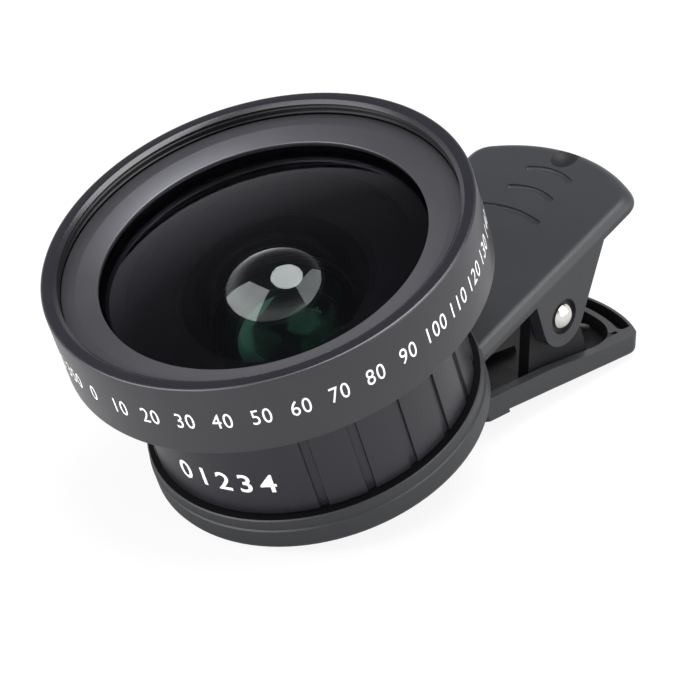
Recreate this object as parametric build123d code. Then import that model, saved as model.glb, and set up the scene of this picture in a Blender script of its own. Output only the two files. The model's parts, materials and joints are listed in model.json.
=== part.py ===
from build123d import *
import os
from math import asin, atan2, cos, degrees, hypot, pi, sin, sqrt

# Clip-on phone lens: a wide front lens on a close-up lens on a sprung clip.
# Everything is drawn in the lens frame: Z is the optical axis, z = 0 is the face that lies
# on the phone, +X points to the finger lever and the pin runs along Y. The last function
# tips all pieces together so that the clip stands on the table.

# Gaps between pieces, in mm
thread_gap = 0.06
running_gap = 0.04
tiny_gap = 0.01
glass_gap = 0.1

# Lens thread and the stack of heights, in mm
lens_thread_r = 18.5
thread_pitch = 0.75
collar_top_z = 4.99
macro_washer_thick = 0.25
macro_height = 15.61
wide_washer_thick = 0.28
front_height = 9.77
macro_low_z = collar_top_z + macro_washer_thick
macro_top_z = macro_low_z + macro_height
front_low_z = macro_top_z + wide_washer_thick
rim_z = front_low_z + front_height

# Wide front lens
rim_r = 26.0
rim_wall = 1.9
front_thread_r = rim_r - rim_wall
front_thread_depth = 0.35
front_groove_count = 2
relief_foot_depth = 2.25
relief_height = 0.55
bezel_depth = 3.3
bezel_thick = 1.47
bezel_width = 4.29
bezel_ridge_back = 1.71
bezel_slope = 0.6
glass_ledge = 1.0
glass_bore_r = front_thread_r - glass_ledge
glass_r = glass_bore_r - glass_gap
glass_seat_z = front_low_z + 1.57
glass_edge_z = glass_seat_z + 3.28
glass_front_sphere = 85.0
spacer_wall = 1.28
spigot_length = 3.83
spigot_wall = 1.4
spigot_low_z = front_low_z - spigot_length
spigot_bore_r = lens_thread_r - spigot_wall
glass_neck_r = spigot_bore_r - 2 * glass_gap
glass_neck_z = spigot_low_z + 0.9
bowl_rim_width = 5.3
bowl_r = glass_neck_r - bowl_rim_width
bowl_depth = 7.13

# Close-up lens
grip_wall = 1.37
macro_r = lens_thread_r + grip_wall
socket_spare = 0.4
macro_socket_z = spigot_low_z - socket_spare
front_element_r = lens_thread_r - 3.04
front_keeper_height = 2.0
front_keeper_sunk = 0.7
front_element_edge = macro_socket_z - front_keeper_sunk - front_keeper_height
front_element_seat = front_element_edge - 1.4
web_thick = 1.8
rear_element_r = front_element_r - 2.0
rear_element_high = front_element_seat - web_thick
rear_element_low = rear_element_high - 2.0
rear_keeper_height = 1.6
rear_keeper_low = rear_element_low - rear_keeper_height
element_flat = 1.2
element_sphere = 60.0 / 13.46 * rear_element_r
macro_front_sphere = 45.0 / 15.46 * front_element_r
strip_count = 18
strip_step = 16.87
strip_first = -134.6
strip_width = 1.0
strip_depth = 0.45

# Cup of the clip
cup_r = lens_thread_r + 2.45
collar_r = lens_thread_r + 2.25
cup_lip = 0.75
cup_low_z = 0.35
cup_skirt = 1.55
port_r = 9.5
pad_thick = 1.0
plate_thick = 1.2
plate_top_z = pad_thick + plate_thick
macro_spigot_z = plate_top_z + glass_gap

# Lever and pin
arm_half_width = 13.0
arm_top_z = 3.6
arm_low_z = 1.75
lever_end_x = 51.9
lever_arc_r = 22.1
lever_corner_r = 3.4
pin_x = 30.75
pin_z = -2.7
pin_r = 1.25
pin_head_r = pin_r + 0.35
pin_sink_r = pin_r + 1.05
pin_sink_depth = 0.7
ear_r = 3.9
ear_thick = 1.8
ear_gap = 0.2
inner_ear_thick = 1.6
inner_ear_r = arm_low_z - pin_z - 0.45

# Lower arm: its side view is given by an upper and a lower line
arm_upper_line = ((15.3, -3.4), (26.2, -7.8), (35.1, -12.1), (48.0, -17.63))
arm_lower_line = ((13.9, -6.2), (25.6, -10.8), (36.5, -15.9), (48.0, -20.72))
arm_wall = 1.3
arm_floor = 1.2
tray_start_x = 17.0
tray_length = 12.56
tray_depth = 2.84
tray_foot_round = 1.0
tray_arc_r = 19.3
tray_corner_r = 2.0
slot_rim = 0.5
slot_width = 2.2
slot_depth = 1.6
slot_half_length = 10.8
slot_ledge = 1.06
trough_corner_r = 7.5
rib_offset = 3.0
rib_width = 1.0
rib_height = 1.1
rib_end_x = 30.0
jaw_tip_x = -3.5
jaw_top_z = -2.0
jaw_low_z = -4.3
jaw_half_width = 9.0
pad_bed_depth = 0.3
lower_pad_thick = pad_bed_depth - jaw_top_z - tiny_gap

# Spring
wire_r = 0.45
coil_gap = 0.6
coil_r = pin_r + 0.45 + wire_r
coil_pitch = 2 * wire_r + coil_gap
coil_whole_turns = 5
quarters_in_coil = 22
lever_leg_reach = 9.75
floor_leg_reach = 9.9
floor_leg_gap = 0.27


def turned(*points):
    """Turn a closed outline of (radius, height) points about the lens axis."""
    outline = make_face(Polyline(*points, close=True))
    return revolve(Plane.XZ * outline, Axis.Z)


def ring(outer, inner, low, high):
    """A plain ring about the lens axis."""
    return turned((inner, low), (outer, low), (outer, high), (inner, high))


def disc(radius, low, high):
    """An upright cylinder on the lens axis between two heights."""
    return Pos(0, 0, (low + high) / 2) * Cylinder(radius, high - low)


def along_pin(radius, y_from, y_to):
    """A cylinder on the pin's axis between two places along Y."""
    return Pos(pin_x, (y_from + y_to) / 2, pin_z) * Rot(90, 0, 0) * Cylinder(radius, y_to - y_from)


def side_plate(face, y_from, y_to):
    """Carry a face drawn in X and Z from one Y to another."""
    solid = extrude(Plane.XZ * face, amount=-(y_to - y_from))
    return Pos(0, y_from, 0) * solid


def dome_drop(sphere_r, radius):
    """How far a sphere falls from its top to a radius."""
    return sphere_r - sqrt(sphere_r ** 2 - radius ** 2)


def dome(radius, sphere_r, height):
    """A spherical cap that stands on the plane z = height, convex side up."""
    ball_z = height + dome_drop(sphere_r, radius) - sphere_r
    return (Pos(0, 0, ball_z) * Sphere(sphere_r)) & disc(radius, height, height + sphere_r)


def line_z(line, x):
    """Height of a line of (x, z) points at some x."""
    for first, last in zip(line, line[1:]):
        if x <= last[0] or last == line[-1]:
            share = (x - first[0]) / (last[0] - first[0])
            return first[1] + share * (last[1] - first[1])


def front_ring():
    """Outer housing with the filter thread, the glass seat and the screw spigot below."""
    edge = 0.2
    thread_r = lens_thread_r - thread_gap
    bezel_seat_z = rim_z - bezel_depth
    relief_z = rim_z - relief_foot_depth
    relief_r = front_thread_r + front_thread_depth
    body = turned(
        (spigot_bore_r, spigot_low_z),
        (thread_r - edge, spigot_low_z),
        (thread_r, spigot_low_z + edge),
        (thread_r, front_low_z),
        (rim_r - edge, front_low_z),
        (rim_r, front_low_z + edge),
        (rim_r, rim_z - edge),
        (rim_r - edge, rim_z),
        (relief_r + 0.1, rim_z),
        (front_thread_r, rim_z - front_thread_depth),
        (front_thread_r, relief_z + relief_height),
        (relief_r, relief_z + relief_height),
        (relief_r, relief_z),
        (front_thread_r, relief_z),
        (front_thread_r, bezel_seat_z),
        (glass_bore_r, bezel_seat_z),
        (glass_bore_r, glass_seat_z),
        (spigot_bore_r, glass_seat_z),
    )
    groove_half = 0.27
    first_groove_z = rim_z - front_thread_depth - groove_half
    for turn in range(front_groove_count):
        groove_z = first_groove_z - turn * thread_pitch
        body -= turned(
            (front_thread_r - 0.1, groove_z - groove_half),
            (relief_r, groove_z),
            (front_thread_r - 0.1, groove_z + groove_half),
        )
    return body


def bezel_ring():
    """Satin ring that screws down over the front glass, sloped down to the glass."""
    outer_r = front_thread_r - running_gap
    inner_r = outer_r - bezel_width
    low_z = rim_z - bezel_depth + tiny_gap
    top_z = low_z + bezel_thick - tiny_gap
    ridge_z = top_z - 0.22
    return turned(
        (inner_r + 0.1, low_z),
        (outer_r, low_z),
        (outer_r, top_z - 0.07),
        (outer_r - 0.1, top_z),
        (outer_r - bezel_ridge_back, ridge_z),
        (inner_r, ridge_z - bezel_slope),
        (inner_r, low_z + 0.34),
    )


def front_spacer():
    """Black ring that the bezel presses on the rim of the front glass."""
    inner_r = glass_bore_r - spacer_wall
    sag = dome_drop(glass_front_sphere, glass_r) - dome_drop(glass_front_sphere, inner_r)
    return ring(glass_bore_r - running_gap, inner_r, glass_edge_z + sag + tiny_gap, rim_z - bezel_depth)


def front_lens():
    """Large diverging glass with a shallow front, a deep bowl behind and a ground neck."""
    glass = disc(glass_r, glass_seat_z, glass_edge_z)
    glass += dome(glass_r, glass_front_sphere, glass_edge_z)
    glass += disc(glass_neck_r, glass_neck_z, glass_seat_z)
    bowl_sphere = (bowl_r ** 2 + bowl_depth ** 2) / (2 * bowl_depth)
    glass -= Pos(0, 0, glass_neck_z + bowl_depth - bowl_sphere) * Sphere(bowl_sphere)
    return glass


def baffle_ring():
    """Black light stop that screws into the spigot behind the front glass."""
    outer_r = spigot_bore_r - running_gap
    low_z = spigot_low_z + 0.1
    edge = 0.2
    return turned(
        (bowl_r + edge + 0.5, low_z),
        (outer_r, low_z),
        (outer_r, glass_neck_z),
        (bowl_r + edge, glass_neck_z),
        (bowl_r + edge, glass_neck_z - edge),
    )


def wide_washer():
    """Thin washer between the front ring and the close-up lens."""
    return ring(lens_thread_r + 1.0, lens_thread_r, macro_top_z, front_low_z)


def macro_ring():
    """Grip ring with a thread at both ends, a web between its two glasses and cut strips."""
    edge = 0.2
    thread_r = lens_thread_r - thread_gap
    front_bore_r = front_element_r + running_gap
    rear_bore_r = rear_element_r + running_gap
    rear_mouth_r = thread_r - 3.44
    rear_mouth_z = rear_keeper_low - 1.8
    web_bore_r = rear_bore_r - 1.0
    body = turned(
        (rear_mouth_r, macro_spigot_z),
        (thread_r - edge, macro_spigot_z),
        (thread_r, macro_spigot_z + edge),
        (thread_r, macro_low_z),
        (macro_r - edge, macro_low_z),
        (macro_r, macro_low_z + edge),
        (macro_r, macro_top_z - edge),
        (macro_r - edge, macro_top_z),
        (lens_thread_r, macro_top_z),
        (lens_thread_r, macro_socket_z),
        (front_bore_r, macro_socket_z),
        (front_bore_r, front_element_seat),
        (web_bore_r, front_element_seat),
        (web_bore_r, rear_element_high),
        (rear_bore_r, rear_element_high),
        (rear_bore_r, rear_mouth_z),
        (rear_mouth_r, rear_mouth_z),
    )
    strip_mid_z = (macro_low_z + macro_top_z) / 2
    for number in range(strip_count):
        strip_turn = strip_first + number * strip_step
        strip = Box(2 * strip_depth, strip_width, macro_height + 1)
        body -= Rot(0, 0, strip_turn) * Pos(macro_r, 0, strip_mid_z) * strip
    return body


def macro_front_lens():
    """Converging glass at the front of the close-up lens."""
    glass = disc(front_element_r, front_element_seat, front_element_edge)
    return glass + dome(front_element_r - element_flat, macro_front_sphere, front_element_edge)


def macro_front_keeper():
    """Threaded ring that keeps the front close-up glass on its web."""
    inner_r = front_element_r - element_flat + 0.1
    top_z = front_element_edge + front_keeper_height
    chamfer = 0.5
    return turned(
        (inner_r + chamfer, top_z),
        (inner_r, top_z - chamfer),
        (inner_r, front_element_edge),
        (front_element_r, front_element_edge),
        (front_element_r, top_z),
    )


def macro_rear_lens():
    """Double convex glass at the back of the close-up lens."""
    cap_r = rear_element_r - element_flat
    glass = disc(rear_element_r, rear_element_low, rear_element_high)
    glass += dome(cap_r, element_sphere, rear_element_high)
    lower_cap = mirror(dome(cap_r, element_sphere, -rear_element_low), about=Plane.XY)
    return glass + lower_cap


def macro_rear_keeper():
    """Threaded ring with two spanner slots that keeps the rear close-up glass."""
    slot = 1.2
    inner_r = rear_element_r - element_flat + 0.1
    body = ring(rear_element_r, inner_r, rear_keeper_low, rear_element_low)
    return body - Pos(0, 0, rear_keeper_low) * Box(3 * rear_element_r, slot, slot)


def macro_washer():
    """Thin black washer that the close-up lens screws down on."""
    return ring(lens_thread_r + 1.1, lens_thread_r, collar_top_z, macro_low_z)


def arm_outline(half_width, end, front, arc_r, corner_r):
    """Plan of an arm: straight sides, rounded corners and a shallow arc at the end."""
    corner = end - arc_r + sqrt(arc_r ** 2 - half_width ** 2)
    near_side = Line((front, -half_width), (corner, -half_width))
    end_arc = ThreePointArc((corner, -half_width), (end, 0), (corner, half_width))
    far_side = Line((corner, half_width), (front, half_width))
    front_side = Line((front, half_width), (front, -half_width))
    outline = make_face([near_side, end_arc, far_side, front_side])
    corners = outline.vertices().filter_by(lambda vertex: vertex.X > front + 1)
    return fillet(corners, corner_r)


def ear_face():
    """Side view of an upper ear: upright front, round foot and a slope up to the lever."""
    slope_dir = Vector(5.2, 5.4).normalized()
    leave_x = pin_x + ear_r * slope_dir.Y
    leave_z = pin_z - ear_r * slope_dir.X
    top_z = arm_low_z + 0.3
    slope_top_x = leave_x + slope_dir.X / slope_dir.Y * (top_z - leave_z)
    foot_turn = pi * 0.53
    foot_middle = (pin_x + ear_r * cos(foot_turn), pin_z - ear_r * sin(foot_turn))
    front = Line((pin_x - ear_r, top_z), (pin_x - ear_r, pin_z))
    foot = ThreePointArc((pin_x - ear_r, pin_z), foot_middle, (leave_x, leave_z))
    slope = Line((leave_x, leave_z), (slope_top_x, top_z))
    roof = Line((slope_top_x, top_z), (pin_x - ear_r, top_z))
    return make_face([front, foot, slope, roof])


def grip_groove(back, half_length):
    """A shallow round-bottomed groove across the lever, some way back from its end."""
    groove_r = 0.42
    bow = 0.7
    x = lever_end_x - back
    path = ThreePointArc((x, -half_length, arm_top_z), (x + bow, 0, arm_top_z), (x, half_length, arm_top_z))
    groove = sweep(Plane(path @ 0, z_dir=path % 0) * Circle(groove_r), path)
    groove += Pos(path @ 0) * Sphere(groove_r)
    groove += Pos(path @ 1) * Sphere(groove_r)
    return groove


def clip_cup():
    """The round end of the upper arm, which takes the lens thread."""
    mouth = 0.35
    edge = 0.15
    skirt_r = cup_r - cup_skirt
    return turned(
        (cup_r - cup_lip, cup_low_z),
        (cup_r - 0.2, cup_low_z + 0.4),
        (cup_r, cup_low_z + 0.85),
        (cup_r, arm_top_z - 0.25),
        (collar_r, arm_top_z - 0.1),
        (collar_r, collar_top_z - edge),
        (collar_r - edge, collar_top_z),
        (lens_thread_r + mouth, collar_top_z),
        (lens_thread_r, collar_top_z - mouth),
        (lens_thread_r, plate_top_z),
        (port_r, plate_top_z),
        (port_r, pad_thick),
        (skirt_r, pad_thick),
        (skirt_r, cup_low_z),
    )


def upper_arm():
    """Upper half of the clip: cup, finger lever and two ears, moulded in one."""
    lever_front = 12.0
    round_top = 1.5
    round_low = 0.3
    outline = arm_outline(arm_half_width, lever_end_x, lever_front, lever_arc_r, lever_corner_r)
    lever = Pos(0, 0, arm_low_z) * extrude(outline, amount=arm_top_z - arm_low_z)
    top_edges = lever.faces().sort_by(Axis.Z)[-1].edges()
    lever = fillet(top_edges.filter_by(lambda edge: edge.center().X > lever_front + 0.5), round_top)
    low_edges = lever.faces().sort_by(Axis.Z)[0].edges()
    lever = fillet(low_edges.filter_by(lambda edge: edge.center().X > lever_front + 0.5), round_low)
    lever -= disc(collar_r - 0.5, 0, 2 * collar_top_z)
    body = clip_cup() + lever
    for side in (-1, 1):
        inner = arm_half_width - ear_thick
        y_from = min(side * inner, side * arm_half_width)
        body += side_plate(ear_face(), y_from, y_from + ear_thick)
    sink_from = arm_half_width - pin_sink_depth
    body -= along_pin(pin_r + tiny_gap, -arm_half_width - 1, arm_half_width + 1)
    body -= along_pin(pin_sink_r, -arm_half_width - 1, -sink_from)
    body -= along_pin(pin_sink_r, sink_from, arm_half_width + 1)
    body -= grip_groove(5.4, 3.3)
    body -= grip_groove(9.3, 3.3)
    body -= grip_groove(13.6, 4.5)
    dimple_r = 2.62
    dimple_depth = 0.72
    body -= Pos(lever_end_x - 2.0, 0, arm_top_z + dimple_r - dimple_depth) * Sphere(dimple_r)
    return body


def upper_pad():
    """Soft ring that lies on the phone round its camera."""
    edge = 0.15
    outer_r = cup_r - cup_skirt - 0.05
    return turned(
        (port_r, edge),
        (port_r + edge, 0),
        (outer_r - edge, 0),
        (outer_r, edge),
        (outer_r, pad_thick),
        (port_r, pad_thick),
    )


def tray_slope():
    """Angle in radians by which the rear part of the lower arm falls away."""
    bend, end = arm_upper_line[-2:]
    return atan2(bend[1] - end[1], end[0] - bend[0])


def tray_plane():
    """Plane of the tray's rim, x down the slope from the bend."""
    bend_x, bend_z = arm_upper_line[-2]
    slope = tray_slope()
    return Plane(
        origin=(bend_x, 0, bend_z),
        x_dir=(cos(slope), 0, -sin(slope)),
        z_dir=(sin(slope), 0, cos(slope)),
    )


def tray_point(along, up):
    """(x, z) of a place down the slope from the bend and square to the tray's rim."""
    bend_x, bend_z = arm_upper_line[-2]
    slope = tray_slope()
    return bend_x + along * cos(slope) + up * sin(slope), bend_z - along * sin(slope) + up * cos(slope)


def tray_floor_z(x):
    """Height of the tray's floor at some x."""
    return line_z(arm_lower_line, x) + arm_floor


def arm_side_face():
    """Side view of the lower arm: flat jaw in front, slope behind."""
    points = [(jaw_tip_x, jaw_low_z + 0.7), (jaw_tip_x, jaw_top_z), (11.6, jaw_top_z)]
    points += list(arm_upper_line)
    points += list(reversed(arm_lower_line))
    points += [(9.0, jaw_low_z - 0.35), (jaw_tip_x + 2.5, jaw_low_z)]
    return make_face(Polyline(*points, close=True))


def tray_block():
    """Outer shape of the tray, square to its rim, with a rounded foot all round."""
    front = -22.0
    above = 1.5
    outline = arm_outline(arm_half_width, tray_length, front, tray_arc_r, tray_corner_r)
    block = extrude(outline, amount=tray_depth + above)
    foot_edges = block.faces().sort_by(Axis.Z)[0].edges()
    block = fillet(foot_edges.filter_by(lambda edge: edge.center().X > front + 0.5), tray_foot_round)
    return tray_plane() * Pos(0, 0, -tray_depth) * block


def jaw_plan():
    """Plan of the narrow jaw that reaches under the cup."""
    wide = arm_half_width
    narrow = jaw_half_width
    tip = 3.0
    points = (
        (tray_start_x + 1, -wide),
        (14.5, -wide),
        (9.0, -narrow),
        (jaw_tip_x + tip, -narrow),
        (jaw_tip_x, -narrow + tip),
        (jaw_tip_x, narrow - tip),
        (jaw_tip_x + tip, narrow),
        (9.0, narrow),
        (14.5, wide),
        (tray_start_x + 1, wide),
    )
    return make_face(Polyline(*points, close=True))


def trough():
    """The trough inside the tray, open to the lever, with wide corners at its end."""
    points = [(tray_start_x, 5), (tray_start_x, tray_floor_z(tray_start_x))]
    points += [(x, z + arm_floor) for x, z in arm_lower_line[1:]]
    points += [(arm_lower_line[-1][0], 5)]
    side = make_face(Polyline(*points, close=True))
    half_width = arm_half_width - arm_wall
    end = tray_length - slot_rim - slot_width - slot_ledge
    plan = arm_outline(half_width, end, -25.0, tray_arc_r, trough_corner_r)
    deep = 20
    prism = tray_plane() * Pos(0, 0, -deep) * extrude(plan, amount=2 * deep)
    return side_plate(side, -arm_half_width, arm_half_width) & prism


def end_slot():
    """A shallow slot along the end of the tray, just inside its rim."""
    inner_end = tray_length - slot_rim - slot_width
    around = Circle(tray_arc_r)
    outer = Pos(tray_length - slot_rim - tray_arc_r, 0) * around
    inner = Pos(inner_end - tray_arc_r, 0) * around
    strip = Pos(tray_length, 0) * Rectangle(4 * slot_width + 10, 2 * slot_half_length)
    band = (outer - inner) & strip
    band = fillet(band.vertices(), 0.6)
    return tray_plane() * Pos(0, 0, -slot_depth) * extrude(band, amount=2 * slot_depth)


def corner_notch(side):
    """A small moulded notch in the solid corner between the trough and the end slot."""
    along = tray_length - 6.96
    across = side * (slot_half_length - 0.05)
    return tray_plane() * Pos(along, across, 0) * Box(1.0, 0.6, 2.0)


def inner_ear_face():
    """Side view of an ear of the lower arm, from round the pin down to the floor."""
    slope = tray_slope()
    reach = 12.0
    front = (pin_x - inner_ear_r * cos(slope), pin_z + inner_ear_r * sin(slope))
    foot = (front[0] - reach * sin(slope), front[1] - reach * cos(slope))
    rear = (pin_x + inner_ear_r, pin_z)
    heel = (rear[0], rear[1] - reach)
    turn = pi / 2 - slope / 2
    crown = (pin_x + inner_ear_r * cos(turn), pin_z + inner_ear_r * sin(turn))
    lines = [Line(rear, heel), Line(heel, foot), Line(foot, front), ThreePointArc(front, crown, rear)]
    above = [(x, z + arm_floor / 2) for x, z in arm_lower_line]
    above += [(arm_lower_line[-1][0], 10), (arm_lower_line[0][0], 10)]
    return make_face(lines) & make_face(Polyline(*above, close=True))


def floor_rib(y):
    """A low rib along the trough's floor, from its front wall to under the pin."""
    middle_x = arm_lower_line[1][0]
    places = (tray_start_x - 0.5, middle_x, rib_end_x)
    top = [(x, tray_floor_z(x) + rib_height) for x in places]
    foot = [(x, tray_floor_z(x) - arm_floor / 2) for x in reversed(places)]
    face = make_face(Polyline(*top, *foot, close=True))
    return side_plate(face, y - rib_width / 2, y + rib_width / 2)


def lower_pad_outline(grow):
    """Plan of the soft block on the lower jaw."""
    return Pos(jaw_tip_x + 7.7, 0) * RectangleRounded(13.0 + 2 * grow, 15.0 + 2 * grow, 2.0)


def lower_arm():
    """Lower half of the clip: a shallow tray with two inner ears and a flat jaw."""
    block = side_plate(arm_side_face(), -arm_half_width, arm_half_width)
    jaw = Pos(0, 0, -20) * extrude(jaw_plan(), amount=30)
    body = (block & tray_block()) + (block & jaw)
    body -= trough()
    ear_outer = arm_half_width - ear_thick - ear_gap
    for side in (-1, 1):
        y_from = min(side * ear_outer, side * (ear_outer - inner_ear_thick))
        body += side_plate(inner_ear_face(), y_from, y_from + inner_ear_thick)
        body += floor_rib(side * rib_offset)
        body -= corner_notch(side)
    body -= along_pin(pin_r + running_gap, -arm_half_width - 1, arm_half_width + 1)
    body -= end_slot()
    pad_bed = extrude(lower_pad_outline(tiny_gap), amount=2)
    return body - Pos(0, 0, jaw_top_z - pad_bed_depth) * pad_bed


def lower_pad():
    """Soft block on the lower jaw that meets the upper pad."""
    block = extrude(lower_pad_outline(0), amount=lower_pad_thick)
    block = Pos(0, 0, jaw_top_z - pad_bed_depth) * block
    return fillet(block.faces().sort_by(Axis.Z)[-1].edges(), 0.4)


def pivot_pin():
    """Rivet that the two arms turn on: domed head on one side, plain end on the other."""
    head_y = arm_half_width - pin_sink_depth
    skirt_height = 0.6
    cap_height = 0.8
    shank = along_pin(pin_r, -head_y, arm_half_width - 0.1)
    skirt = along_pin(pin_head_r, -head_y - skirt_height, -head_y)
    cap_sphere = (pin_head_r ** 2 + cap_height ** 2) / (2 * cap_height)
    ball_y = -head_y - skirt_height - cap_height + cap_sphere
    cap = Pos(pin_x, ball_y, pin_z) * Sphere(cap_sphere)
    cap &= along_pin(pin_head_r, -head_y - skirt_height - 2 * cap_height, -head_y - skirt_height)
    return shank + skirt + cap


def pin_keeper():
    """Push-on washer that holds the plain end of the pin in its counterbore."""
    inside = arm_half_width - pin_sink_depth
    outer = along_pin(pin_sink_r - 0.2, inside, inside + 0.5)
    return outer - along_pin(pin_r + tiny_gap, inside - 1, inside + 1)


# Spring: a coil on the pin with one leg under the lever and one leg on the tray's floor


def lever_leg_tip():
    """Where the lever leg ends, measured from the pin, just under the lever."""
    return lever_leg_reach, arm_low_z - pin_z - wire_r - 2 * tiny_gap


def floor_leg_tip():
    """Where the floor leg ends, measured from the pin, just over the trough's floor."""
    bend, end = arm_lower_line[-2:]
    fall = atan2(bend[1] - end[1], end[0] - bend[0])
    over_floor = (wire_r + floor_leg_gap) / cos(fall)
    return floor_leg_reach, tray_floor_z(pin_x + floor_leg_reach) - pin_z + over_floor


def leg_start_angle(tip, arriving):
    """Place on the coil, in degrees, from which a straight leg reaches its tip."""
    leg = sqrt(hypot(*tip) ** 2 - coil_r ** 2)
    swing = degrees(atan2(leg, coil_r))
    toward = degrees(atan2(tip[1], tip[0]))
    if arriving:
        return toward + swing
    return toward - swing


def coil_point(angle, first_angle, coil_length, total):
    """Point on the coil's centre line at an angle, coil axis along Z."""
    turn = angle * pi / 180
    height = coil_length * (angle - first_angle) / total - coil_length / 2
    return Vector(coil_r * cos(turn), coil_r * sin(turn), height)


def coil_tangent(angle):
    """Unit direction of the centre line at an angle."""
    turn = angle * pi / 180
    rise = coil_pitch / (2 * pi)
    return Vector(-coil_r * sin(turn), coil_r * cos(turn), rise).normalized()


def two_arcs(start, start_dir, end, end_dir):
    """Two arcs that run smoothly from one point and direction to another."""
    across = end - start
    bend = 2 * (1 - start_dir.dot(end_dir))
    along = across.dot(start_dir + end_dir)
    reach = (-along + sqrt(along ** 2 + bend * across.dot(across))) / bend
    first_hand = start + start_dir * reach
    second_hand = end - end_dir * reach
    middle = (first_hand + second_hand) * 0.5
    middle_dir = (second_hand - first_hand).normalized()
    first_arc = TangentArc(start, middle, tangent=start_dir)
    second_arc = TangentArc(middle, end, tangent=middle_dir)
    return [first_arc, second_arc]


def spring_wire():
    """Centre line of the spring, coil axis along Z."""
    first_angle = leg_start_angle(lever_leg_tip(), True)
    last_angle = leg_start_angle(floor_leg_tip(), False) + 360 * (coil_whole_turns + 1)
    total = last_angle - first_angle
    coil_length = coil_pitch * total / 360
    coil_start = coil_point(first_angle, first_angle, coil_length, total)
    coil_end = coil_point(last_angle, first_angle, coil_length, total)
    lever_leg = sqrt(hypot(*lever_leg_tip()) ** 2 - coil_r ** 2)
    floor_leg = sqrt(hypot(*floor_leg_tip()) ** 2 - coil_r ** 2)
    pieces = [Line(coil_start - coil_tangent(first_angle) * lever_leg, coil_start)]
    step = total / quarters_in_coil
    for number in range(quarters_in_coil):
        angle = first_angle + number * step
        start = coil_point(angle, first_angle, coil_length, total)
        end = coil_point(angle + step, first_angle, coil_length, total)
        pieces += two_arcs(start, coil_tangent(angle), end, coil_tangent(angle + step))
    pieces.append(Line(coil_end, coil_end + coil_tangent(last_angle) * floor_leg))
    return Wire(pieces)


def print_least_gap(wire):
    """Measure the spring's least gap to itself on points of its centre line."""
    spacing = 0.2
    skip = int(4.0 / spacing)
    count = int(wire.length / spacing)
    points = [wire @ (number / count) for number in range(count + 1)]
    least = wire.length
    for first in range(count + 1):
        for second in range(first + skip, count + 1):
            least = min(least, (points[first] - points[second]).length)
    print("spring least gap to itself, mm:", round(least - 2 * wire_r, 3))


def torsion_spring():
    """Round-wire spring that pushes the lever and the tray apart."""
    wire = spring_wire()
    print_least_gap(wire)
    section = Plane(wire @ 0, z_dir=wire % 0) * Circle(wire_r)
    return Pos(pin_x, 0, pin_z) * Rot(90, 0, 0) * sweep(section, path=wire)


def rest_tilt():
    """Tilt in degrees at which the cup's lip and the tray's rounded foot share one level."""
    front_x = -(cup_r - cup_lip)
    foot_x, foot_z = tray_point(tray_length - tray_foot_round, tray_foot_round - tray_depth)
    fall = cup_low_z - foot_z
    length = foot_x - front_x
    return degrees(atan2(fall, length) + asin(tray_foot_round / hypot(length, fall)))


def lay_down(shapes):
    """Tip the lens frame so that the clip stands on its cup and its lower arm."""
    tilt = rest_tilt()
    tipped = {}
    for name, shape in shapes.items():
        tipped[name] = Rot(0, -tilt, 0) * shape
    box = Compound(list(tipped.values())).bounding_box()
    print("tilt of the lens axis, degrees:", round(tilt, 4))
    print("lens frame moved by, mm:", round(-box.center().X, 4), round(-box.min.Z, 4))
    shift = Pos(-box.center().X, 0, -box.min.Z)
    placed = {}
    for name, shape in tipped.items():
        placed[name] = shift * shape
    return placed


def main():
    """Build every piece, stand the clip on the table and write one file for each piece."""
    shapes = {
        "front_ring": front_ring(),
        "bezel_ring": bezel_ring(),
        "front_spacer": front_spacer(),
        "front_lens": front_lens(),
        "baffle_ring": baffle_ring(),
        "wide_washer": wide_washer(),
        "macro_ring": macro_ring(),
        "macro_front_lens": macro_front_lens(),
        "macro_front_keeper": macro_front_keeper(),
        "macro_rear_lens": macro_rear_lens(),
        "macro_rear_keeper": macro_rear_keeper(),
        "macro_washer": macro_washer(),
        "upper_arm": upper_arm(),
        "upper_pad": upper_pad(),
        "lower_arm": lower_arm(),
        "lower_pad": lower_pad(),
        "pivot_pin": pivot_pin(),
        "pin_keeper": pin_keeper(),
        "torsion_spring": torsion_spring(),
    }
    os.makedirs("parts", exist_ok=True)
    for name, shape in lay_down(shapes).items():
        export_step(shape, "parts/" + name + ".step")


main()
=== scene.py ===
import json
import math
import bmesh
import bpy
from mathutils import Matrix, Vector


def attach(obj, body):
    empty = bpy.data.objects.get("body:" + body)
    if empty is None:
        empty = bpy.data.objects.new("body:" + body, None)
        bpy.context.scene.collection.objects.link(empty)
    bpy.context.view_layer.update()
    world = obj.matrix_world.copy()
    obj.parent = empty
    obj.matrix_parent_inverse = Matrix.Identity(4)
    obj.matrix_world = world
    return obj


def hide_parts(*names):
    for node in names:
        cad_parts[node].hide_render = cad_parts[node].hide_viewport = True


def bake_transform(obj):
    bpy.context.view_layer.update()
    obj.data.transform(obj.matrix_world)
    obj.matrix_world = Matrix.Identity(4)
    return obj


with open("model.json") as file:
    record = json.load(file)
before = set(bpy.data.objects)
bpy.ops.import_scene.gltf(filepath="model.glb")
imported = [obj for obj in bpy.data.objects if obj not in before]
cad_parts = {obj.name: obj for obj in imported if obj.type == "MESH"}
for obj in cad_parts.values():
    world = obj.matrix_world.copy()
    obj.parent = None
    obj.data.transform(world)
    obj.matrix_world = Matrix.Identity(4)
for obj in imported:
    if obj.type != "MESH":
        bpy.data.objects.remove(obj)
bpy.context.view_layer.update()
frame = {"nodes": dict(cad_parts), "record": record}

MM = 0.001


def axes_matrix(x_axis, y_axis, z_axis, origin):
    """Matrix with the given axes as its columns and the given origin."""
    columns = Matrix((x_axis, y_axis, z_axis)).transposed().to_4x4()
    columns.translation = origin
    return columns


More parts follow.
